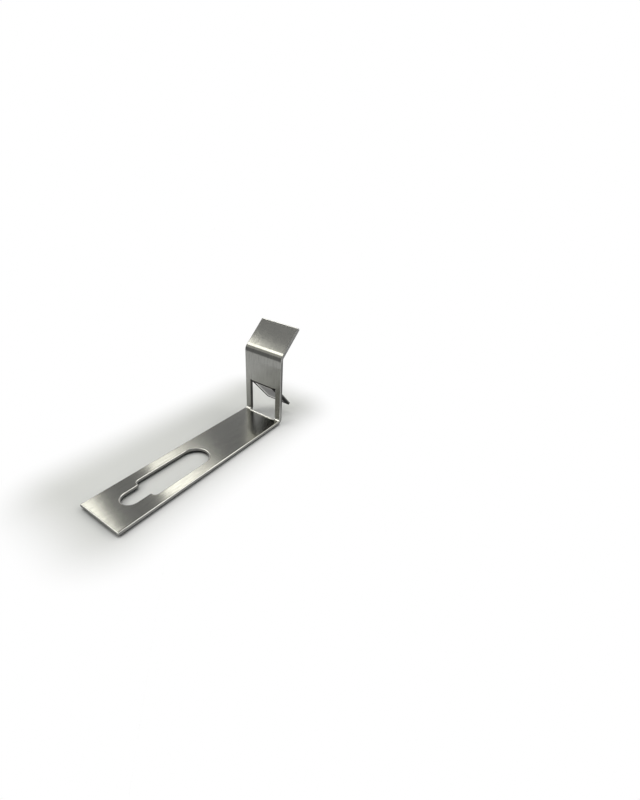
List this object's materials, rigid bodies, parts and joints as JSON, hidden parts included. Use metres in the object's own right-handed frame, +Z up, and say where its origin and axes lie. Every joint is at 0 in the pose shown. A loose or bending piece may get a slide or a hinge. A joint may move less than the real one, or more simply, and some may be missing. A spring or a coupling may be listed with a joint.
{
  "type": "facade cladding clip",
  "caption": "Folded stainless strip with a slotted fixing leg, an upright, a sloping lip and a tongue bent out behind, to hold a facade panel",
  "frame": {"origin": "Middle of the slot's wide part, on the leg's underside, where the fixing screw passes", "axes": "+X along the leg towards its free end, +Y across the strip, +Z up along the fixing screw towards the lip"},
  "size_m": [0.0909, 0.02, 0.0423],
  "materials": {
    "brushed_stainless": "Brushed stainless sheet, fine grain along the strip, slightly rounded bright edges"
  },
  "bodies": {
    "root": {"cladding_clip": "brushed_stainless"}
  },
  "joints": []
}
